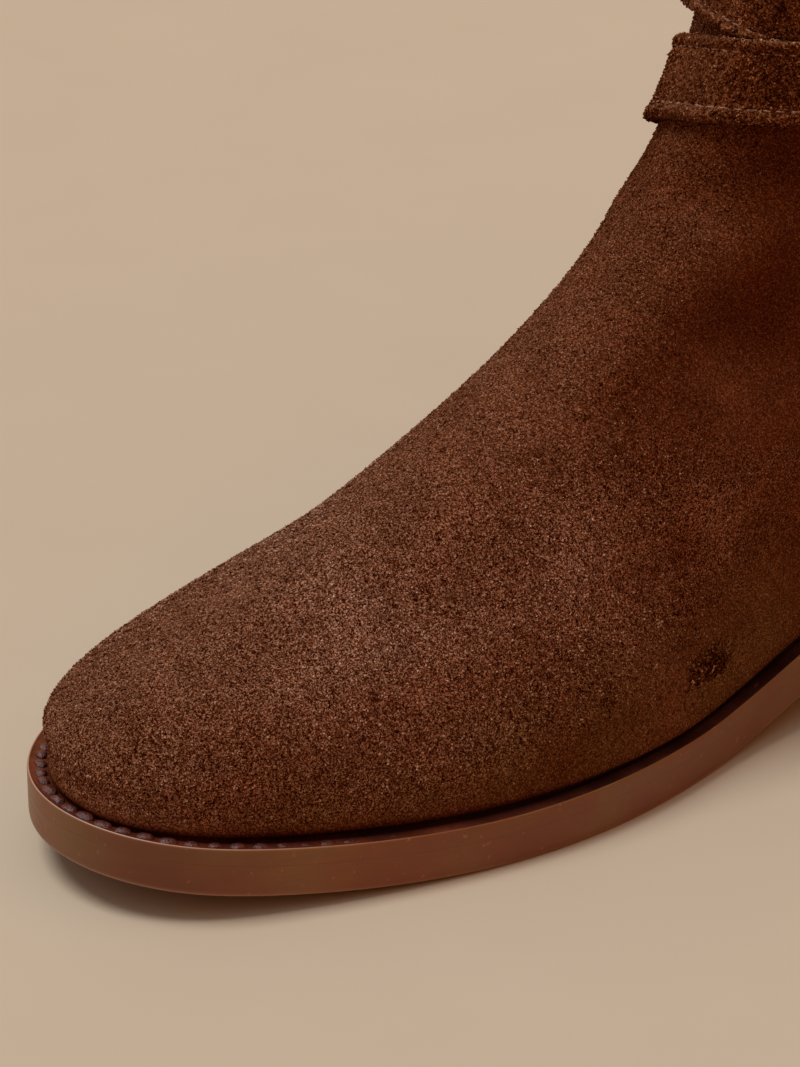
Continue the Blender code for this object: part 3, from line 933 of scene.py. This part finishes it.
def make_upper(suede, lining):
    """Suede outside and smooth lining, as one closed wall. Gives the ground that the nap grows on."""
    turns = ring_turns(FINE_STEPS)
    levels = upper_levels()
    outside = fine_upper(levels, turns)
    away = outward(outside)
    rings = upper_rings(outside, away)
    finish = np.repeat(np.arange(len(rings)) >= len(outside) + COLLAR_SUEDE_RINGS, len(turns))
    vertices, faces = rings_mesh(rings, looped=True)
    made = add_piece("upper_suede", vertices, faces, (suede, lining), "suede", "upper", finish)
    rubbed = 1 + np.min(list(spots(RUBBED, outside, RUBBED_BORDER)), axis=0)
    # Patches of painted shade and painted light on the upper
    painted_patches = np.prod([1 + spot for spot in spots(PAINTED_SHADE_AND_LIGHT, outside)], axis=0)
    olive = 1 + np.max(list(spots(OLIVE, outside)), axis=0)
    coarse = coarseness(levels, turns) + RUBBED_COARSE * (1 - rubbed)
    lively = liveliness(levels, turns) + RUBBED_LIVELY * (1 - rubbed)
    # The tone takes in the painted light on the coarse nap and the painted shade along the foot
    tone = painted_patches * rubbed * (1 + COARSE_PAINTED_LIGHT * rough_share(coarse)) * painted_foot_shade(levels, turns)
    tone = tone_channels(tone) * olive[:, :, None] ** np.array(OLIVE_POWERS)
    inside = np.ones((len(rings) - len(outside), len(turns)))
    point_tones(made, np.concatenate([tone, tone_channels(inside)]))
    point_values(made, "contrast", np.concatenate([contrast(lively), inside]))
    return outside, away, tone, coarse, lively


# Nap


def scatter(draw, surface, count):
    """Random places on a ring surface, even by area, as ring, turn and the two shares between grid points."""
    around = np.roll(surface, -1, axis=1)
    area = np.linalg.norm(np.cross(around - surface, np.gradient(surface, axis=0)), axis=2)[:-1]
    pick = np.searchsorted(np.cumsum(area.ravel()), draw.random(count) * area.sum())
    row, column = np.unravel_index(np.clip(pick, 0, area.size - 1), area.shape)
    return row, column, draw.random(count), draw.random(count)


def read_grid(grid, row, column, rise, run):
    """A grid's value between its points."""
    grid = grid if grid.ndim == 3 else grid[:, :, None]
    after = (column + 1) % grid.shape[1]
    low = grid[row, column] * (1 - run)[:, None] + grid[row, after] * run[:, None]
    high = grid[row + 1, column] * (1 - run)[:, None] + grid[row + 1, after] * run[:, None]
    return low * (1 - rise)[:, None] + high * rise[:, None]


def crumple(places):
    """Small irregular relief of the nap: how high each place lies, and its slope, both of about 1."""
    draw = np.random.default_rng(SEED)
    aim = unit(draw.normal(size=(CRUMPLE_WAVES, 3)))
    pace = 2 * math.pi / draw.uniform(*CRUMPLE_LENGTHS, CRUMPLE_WAVES)
    phase = places @ (aim * pace[:, None]).T + draw.uniform(0, 2 * math.pi, CRUMPLE_WAVES)
    share = (3 / CRUMPLE_WAVES) ** 0.5
    return share * np.sin(phase).sum(axis=1), share * np.cos(phase) @ aim


def lay_tufts(name, draw, ground, width, finish):
    """Short leaning tufts of nap, some of them slim fibres or stray hairs, on the ground's places."""
    root, normal, along, tone, coarse, lively = ground
    count = len(root)
    rough = rough_share(coarse, CRUMPLE_LEAST)
    height, slope = crumple(root)
    slope -= normal * (slope * normal).sum(axis=1, keepdims=True)
    normal = unit(normal - slope * CRUMPLE_SLOPE * rough[:, None])
    across = unit(np.cross(normal, along))
    along = np.cross(across, normal)
    swirl = sum(np.sin(root @ pace + start) for *pace, start in SWIRLS)
    turn = SWIRL_TURN * swirl + draw.normal(0.0, TURN_SPREAD, count)
    slim = draw.random(count) < SLIM_TUFTS
    stray = draw.random(count) < STRAY_TUFTS
    size = width * coarse * draw.uniform(*TUFT_SIZES, count)
    long, wide = size * np.array(TUFT_SHAPES)[np.where(stray, 2, slim)].T
    high = size * draw.uniform(*TUFT_HEIGHTS, count)
    lean = along * np.cos(turn)[:, None] + across * np.sin(turn)[:, None]
    side = np.cross(normal, lean) * wide[:, None]
    foot = root - normal * ROOT_DEPTH
    tip = root + normal * high[:, None] + lean * (long * draw.uniform(*TUFT_LEANS, count))[:, None]
    back = foot - lean * long[:, None]
    front = foot + lean * (TUFT_FRONT * long)[:, None]
    corners = np.stack([back, front - side, front + side, tip], axis=1)
    per_tuft = corners.shape[1]
    faces = per_tuft * np.arange(count)[:, None, None] + np.array(TUFT_FACES)
    made = add_piece(name, corners.reshape(-1, 3), faces.reshape(-1, 3).tolist(), (finish,), "suede")
    # Random lightness of each tuft, with painted shade in the relief's hollows and painted light on its
    # crests
    spread = TUFT_SHADE * draw.normal(size=count) * coarse + CRUMPLE_PAINTED_SHADE * height * rough
    shade = MIDDLE_SHADE + spread * (CALM_SHADE + lively) + SLIM_LIGHT * slim + STRAY_LIGHT * stray
    # Painted shade at each tuft's root
    low = shade - ROOT_PAINTED_SHADE
    point_values(made, "nap", np.stack([low, low, low, shade], axis=1))
    point_values(made, "contrast", np.repeat(contrast(lively), per_tuft))
    power = np.where(lively > RUBBED_FLECK_FROM, RUBBED_FLECK_POWER, FLECK_POWER)
    fleck = draw.random(count) < FLECK_SHARE
    tone = np.where(fleck[:, None], tone ** power[:, None], tone)
    point_tones(made, np.repeat(tone, per_tuft, axis=0))


def make_nap(name, pieces, tufts, grids, width, finish):
    """Short nap all over a ring surface."""
    surface, away = grids[:2]
    around = np.roll(surface, -1, axis=1) - np.roll(surface, 1, axis=1)
    for piece in range(pieces):
        draw = np.random.default_rng(SEED + piece)
        place = scatter(draw, surface, tufts)
        root, normal, along, tone, coarse, lively = (
            read_grid(grid, *place) for grid in (surface, away, around, *grids[2:]))
        ground = root, unit(normal), unit(along), tone, coarse[:, 0], lively[:, 0]
        lay_tufts(f"{name}_{piece + 1}", draw, ground, width, finish)


# Straps and stitches


def strap_section():
    """A strap's section: up its outer face, with a sewn channel near each edge, and down its back."""
    half = STRAP_WIDTH / 2
    up = half * np.sin(np.linspace(-math.pi / 2, math.pi / 2, STRAP_FACE_POINTS))
    from_edge = half - np.abs(up)
    short = np.clip(STRAP_EDGE_ROUND - from_edge, 0.0, STRAP_EDGE_ROUND)
    out = STRAP_THICKNESS - STRAP_EDGE_ROUND + np.sqrt(STRAP_EDGE_ROUND**2 - short**2)
    out -= STRAP_SEAM_DEPTH * band(from_edge, STRAP_SEAM_INSET, STRAP_SEAM_WIDTH)
    back = np.linspace(half, -half, STRAP_BACK_POINTS)
    return np.concatenate([np.stack([up, out], axis=1), np.stack([back, np.zeros_like(back)], axis=1)])


def ripple(waves, turns):
    """Sum of waves round the ankle."""
    return sum(height * np.sin(count * turns + start) for count, start, height in waves)


def strap_swell(up, turns):
    """How far a strap's borders stand out, and how far its edges wave up and down."""
    border = band(up + STRAP_WIDTH / 2, *STRAP_BORDER)
    top = band(STRAP_WIDTH / 2 - up, *STRAP_TOP)
    swell = table_at(STRAP_PUFF, turns) * border + STRAP_TOP_PUFF * top
    swell += ripple(STRAP_LUMPS, turns) * (border + top)
    return swell, ripple(STRAP_WAVES, turns) * (border - top)


def strap_tone_and_painted_light(turns):
    """How light a strap is: painted light round its front and on its puffed lower border, where they face the
    light, and lighter along its raw top edge.
    """
    side = side_of(turns)
    # Painted light round the strap's front
    front = STRAP_FRONT_PAINTED_LIGHT + rising(STRAP_FRONT_PAINTED_LIGHT_FADE, side)
    rows = []
    for up, _ in strap_section():
        # Painted light on the puffed lower border
        border = STRAP_BORDER_PAINTED_LIGHT * band(up + STRAP_WIDTH / 2, *STRAP_PAINTED_LIGHT_BAND)
        raw_edge = rising(STRAP_RAW_EDGE_LIGHT, side) * band(STRAP_WIDTH / 2 - up, *STRAP_RAW_EDGE)
        rows.append(front * (1 + border + raw_edge))
    return np.array(rows)


def strap_place(shaft, columns, up, out):
    """Places along a strap at a distance up from its middle and out from its back."""
    middle, foot_gap, top_gap = columns
    share = up / STRAP_WIDTH + 0.5
    return shaft.at(middle + up, foot_gap + (top_gap - foot_gap) * share + out)


def strap_seams(shaft, columns):
    """Lines of a strap's two seams."""
    for side, stand_out in STRAP_SEAMS:
        up = side * (STRAP_WIDTH / 2 - STRAP_SEAM_INSET)
        yield strap_place(shaft, columns, up, STRAP_THICKNESS - STRAP_SEAM_DEPTH + stand_out)


def stitch_rings(spot, along, across, up, length, radius, arch):
    """One stitch: rings of thread that thin out at its ends, with its middle arched."""
    turns = np.linspace(0.0, 2 * math.pi, STITCH_SIDES, endpoint=False)[:, None]
    circle = across * np.cos(turns) + up * np.sin(turns)
    for span in np.linspace(-1.0, 1.0, STITCH_RINGS):
        thick = radius * max(1 - span**4, STITCH_END) ** 0.5
        yield spot + along * span * length / 2 + up * arch * (1 - span**2) + thick * circle


def stitches(name, lines, thread, slot, pitch, length, radius, lean, flat):
    """Rows of short stitches along closed lines, each a small rounded capsule of thread."""
    draw = np.random.default_rng(SEED)
    vertices, faces = [], []
    for places, away in lines:
        closed = np.concatenate([places, places[:1]])
        run = np.concatenate([[0.0], np.cumsum(np.linalg.norm(np.diff(closed, axis=0), axis=1))])
        count = int(run[-1] / pitch)
        for here in (np.arange(count) + 0.5) * run[-1] / count:
            spot, ahead = (
                np.array([np.interp(at, run, column) for column in closed.T])
                for at in (here, here + STITCH_AHEAD))
            normal = away[np.searchsorted(run, here) % len(places)]
            along = unit(ahead - spot)
            tilt = math.radians(lean) + draw.normal(0.0, STITCH_TILT)
            along = along * math.cos(tilt) + np.cross(normal, along) * math.sin(tilt)
            spot -= normal * draw.uniform(0.0, STITCH_SINK * radius * flat)
            size = draw.uniform(*STITCH_SIZES)
            rings = stitch_rings(
                spot, along, np.cross(normal, along), normal * flat, size * length, size * radius,
                STITCH_ARCH * radius)
            points, pattern = rings_mesh(list(rings))
            faces += [[len(vertices) + k for k in face] for face in pattern]
            vertices.extend(points)
    add_piece(name, vertices, faces, (thread,), slot)


def make_straps(suede, thread, nap):
    """Two ankle straps with puffed, sewn edges."""
    turns = ring_turns(STRAP_STEPS)
    shaft = Shaft(turns)
    table = np.array(STRAP_ROWS)
    rows = closed_spline(np.radians(table[:, 0]), table[:, 1:], turns).T
    # Tone of the straps, with their painted light
    tone = tone_channels(strap_tone_and_painted_light(turns))
    lively = rising(STRAP_LIVELY, side_of(turns))
    for name, columns in (("strap_lower", rows[:3]), ("strap_upper", rows[3:])):
        rings = []
        for up, out in strap_section():
            swell, wave = strap_swell(up, turns)
            rings.append(strap_place(shaft, columns, up + wave, out + swell * min(1.0, out))[0])
        made = add_piece(f"{name}_suede", *rings_mesh(rings, looped=True), (suede,), "suede", name)
        point_tones(made, tone)
        point_values(made, "contrast", np.tile(contrast(lively), len(rings)))
        face = np.array(rings[:STRAP_FACE_POINTS])
        coarse = np.ones(face.shape[:2])
        grids = face, outward(face), tone[:STRAP_FACE_POINTS], coarse, lively * coarse
        make_nap(f"{name}_nap", 1, STRAP_TUFTS, grids, STRAP_NAP_WIDTH, nap)
        stitches(f"{name}_stitches", strap_seams(shaft, columns), thread, "suede", **STRAP_STITCH)


# Sole, welt, insole and heel


def make_sole(edge, tread):
    """Leather outsole whose burnished edge runs up to the welt."""
    turns = ring_turns(SOLE_STEPS)
    rings = [sole_ring(inset, rise, turns) for inset, rise, _ in SOLE_SECTION]
    vertices, faces = rings_mesh(rings)
    sides = (len(rings) - 1) * len(turns)
    finish = np.arange(len(faces)) >= sides
    made = add_piece(
        "outsole_leather", vertices, faces, (edge, tread), "sole_leather", "outsole", finish, SOLE_SHARP)
    # Lighter bottom corner: wear and painted highlight
    point_values(made, "wear_and_highlight", np.repeat([wear_and_highlight for _, _, wear_and_highlight in SOLE_SECTION], len(turns)))
    # Painted light and shade along the edge
    point_values(made, "shade", np.tile(table_at(EDGE_PAINTED_LIGHT_AND_SHADE, turns), len(rings)))


def make_welt(edge, channel, thread):
    """Welt with a painted highlight on its outer lip, and a sewn channel along the foot of the upper with
    painted shade in it.
    """
    turns = ring_turns(SOLE_STEPS)
    side = side_of(turns)
    margin = welt_margin(turns)
    rings = [
        sole_ring(inset + share * margin, SOLE_TOP - drop, turns) for inset, share, drop, *_ in WELT_SECTION]
    in_channel = np.arange(len(rings)) >= CHANNEL_FROM
    finish = np.repeat(in_channel, len(turns))
    vertices, faces = rings_mesh(rings, looped=True)
    made = add_piece(
        "welt_leather", vertices, faces, (edge, channel), "sole_leather", "welt", finish, WELT_SHARP)
    wear_and_highlight, shade = (column[:, None] for column in np.array(WELT_SECTION).T[3:])
    # Painted highlight on the lip, fading away from the toe
    point_values(made, "wear_and_highlight", wear_and_highlight * (1 - rising(LIP_HIGHLIGHT_FADE, side)))
    # Painted shade in the channel, deep by the upper and more towards the waist; the edge rows get the edge's
    # painted light and shade
    painted_dim = (1 - shade) * (CHANNEL_TOE_PAINTED_SHADE + rising(CHANNEL_PAINTED_SHADE_RISE, side))
    channel_painted_shade = (1 - painted_dim) * (1 - rising(CHANNEL_WAIST_PAINTED_SHADE, side))
    point_values(made, "shade", np.where(in_channel[:, None], channel_painted_shade, table_at(EDGE_PAINTED_LIGHT_AND_SHADE, turns)))
    line = sole_ring(BEAD_INSET * margin, SOLE_TOP - BEAD_DROP, turns)
    line[:, 2] -= rising(BEAD_SINK, side)
    up = np.tile([0.0, 0.0, 1.0], (len(turns), 1))
    stitches("welt_stitches", [(line, up)], thread, "sole_leather", **WELT_STITCH)


def make_insole(leather):
    """Insole with a soft edge."""
    turns = ring_turns(SOLE_STEPS)
    margin = welt_margin(turns) + UPPER_WALL + 2 * SEAT_GAP
    rings = [sole_ring(margin + inset, SOLE_TOP + SEAT_GAP + rise, turns) for inset, rise in INSOLE_SECTION]
    add_piece("insole_leather", *rings_mesh(rings), (leather,), "insole_leather", "insole", sharp=SOLE_SHARP)


def heel_mesh(layers):
    """Stacked heel outlines behind the breast, from the floor up, closed by strips across."""
    breast_turn = math.acos(-2 * HEEL_BREAST / SOLE_LENGTH)
    behind = np.linspace(breast_turn, 2 * math.pi - breast_turn, HEEL_FINE_POINTS)
    rings = []
    for inset, height in layers:
        edge = inset_edge(HEEL_TAPER * (1 - height / HEEL_HEIGHT) + inset, behind)
        rings.append(np.column_stack([edge, np.full(len(edge), height)]))
    return rings_mesh(rings, twin=1)


def make_heel(edge, rubber):
    """Stacked leather lifts with fine grooves, on a rubber top lift."""
    low = HEEL_TOP_LIFT + SEAT_GAP
    high = HEEL_HEIGHT - SEAT_GAP
    stack = [(0.0, low)]
    for joint in np.linspace(low, high, HEEL_LIFTS + 1)[1:-1]:
        stack += [(0.0, joint - LIFT_GROOVE), (LIFT_GROOVE, joint), (0.0, joint + LIFT_GROOVE)]
    stack.append((0.0, HEEL_HEIGHT - CLOSE_GAP))
    made = add_piece(
        "heel_stack_leather", *heel_mesh(stack), (edge,), "sole_leather", "heel_stack", sharp=HEEL_SHARP)
    point_values(made, "wear_and_highlight", np.zeros(len(made.data.vertices)))
    point_values(made, "shade", np.ones(len(made.data.vertices)))
    add_piece(
        "heel_rubber", *heel_mesh(TOP_LIFT_SECTION), (rubber,), "heel_rubber", "heel_top_lift",
        sharp=HEEL_SHARP)


# Stage: camera, light and floor


def make_camera():
    """The photo's camera, fitted to the sole's edge and the upper's outline."""
    turn, tilt = math.radians(CAMERA_AZIMUTH), math.radians(CAMERA_ELEVATION)
    back = Vector((math.sin(turn) * math.cos(tilt), -math.cos(turn) * math.cos(tilt), math.sin(tilt)))
    right = Vector((math.cos(turn), math.sin(turn), 0.0))
    up = back.cross(right)
    place = right * CAMERA_ACROSS + up * CAMERA_UP + back * CAMERA_DISTANCE
    place.x -= BOX_MIDDLE
    data = bpy.data.cameras.new("photo_camera")
    data.sensor_width = SENSOR
    data.lens = CAMERA_FOCUS / PHOTO_HEIGHT * SENSOR
    data.clip_start, data.clip_end = CAMERA_REACH_M
    made = add_object("photo_camera", data)
    axes = Matrix((right, up, back)).transposed().to_4x4()
    made.matrix_world = Matrix.Translation(place * MM) @ axes
    bpy.context.scene.camera = made


def make_light():
    """Broad soft light from above, warmer and dimmer round the room's edge."""
    world = bpy.data.worlds.new("room")
    sky = Nodes(world)
    aim = sky.node("TexCoord").outputs["Generated"]
    rise = sky.node("VectorMath", {"operation": "DOT_PRODUCT"}, {0: aim, 1: SKY_AXIS})
    fade = sky.node("ValToRGB", inputs={"Fac": rise.outputs["Value"]})
    low, high = fade.color_ramp.elements
    low.position = SKY_EDGE_RISE
    low.color = SKY_EDGE
    high.color = SKY_TOP
    sky.feed(sky.tree.nodes["Background"].inputs["Color"], fade.outputs["Color"])
    bpy.context.scene.world = world
    data = bpy.data.lights.new("softbox", "SUN")
    data.energy = SUN_ENERGY
    data.angle = math.radians(SUN_ANGLE)
    data.color = SUN_COLOUR
    made = add_object("softbox", data)
    made.rotation_euler = Vector(SUN_TRAVEL).to_track_quat("-Z", "Y").to_euler()


def make_floor():
    """Plain pale floor."""
    finish = Finish("floor_paper")
    mottle = finish.noise(size=40.0, detail=3.0, roughness=0.5)
    colour = finish.ramp(mottle, (0.3, 0.7), FLOOR)
    finish.set(Base_Color=colour, Roughness=0.95, Specular_IOR_Level=0.0)
    half = FLOOR_SIZE_M / 2
    corners = [(-half, -half, 0), (half, -half, 0), (half, half, 0), (-half, half, 0)]
    mesh = bpy.data.meshes.new("floor")
    mesh.from_pydata(corners, [], [(0, 1, 2, 3)])
    mesh.materials.append(finish.made)
    made = add_object("floor", mesh)


def make_boot():
    """Every piece of the boot, with its finish."""
    suede = suede_finish("suede_nap", SUEDE, SUEDE_GRAIN, relief=0.12)
    lining = leather_finish("lining", LINING, roughness=0.6)
    nap = fibre_finish("nap_tufts", SUEDE_TUFTS, SUEDE_GRAIN)
    make_nap("suede_nap", NAP_PIECES, NAP_TUFTS, make_upper(suede, lining), NAP_WIDTH, nap)
    strap_suede = suede_finish("strap_nap", STRAP_SUEDE, STRAP_GRAIN, relief=0.15)
    strap_thread = thread_finish("strap_thread", STRAP_THREAD, roughness=0.9, gloss=0.3)
    strap_nap = fibre_finish("strap_tufts", STRAP_SUEDE_TUFTS, STRAP_GRAIN)
    make_straps(strap_suede, strap_thread, strap_nap)
    edge = edge_finish("sole_edge")
    make_sole(edge, leather_finish("sole_tread", TREAD, roughness=0.6))
    # The channel takes painted shade from the mesh
    channel = leather_finish("welt_channel", CHANNEL, roughness=0.45, relief=0.3, grain=1.1, with_painted_shade=True)
    make_welt(edge, channel, thread_finish("welt_thread", WELT_THREAD, roughness=0.36, gloss=0.65))
    make_insole(leather_finish("insole_hide", INSOLE, roughness=0.6))
    make_heel(edge, leather_finish("rubber", RUBBER, roughness=0.7, relief=0.08))


def main():
    """Stage and boot."""
    bpy.context.scene.view_settings.view_transform = "Standard"
    make_camera()
    make_light()
    make_floor()
    make_boot()


main()
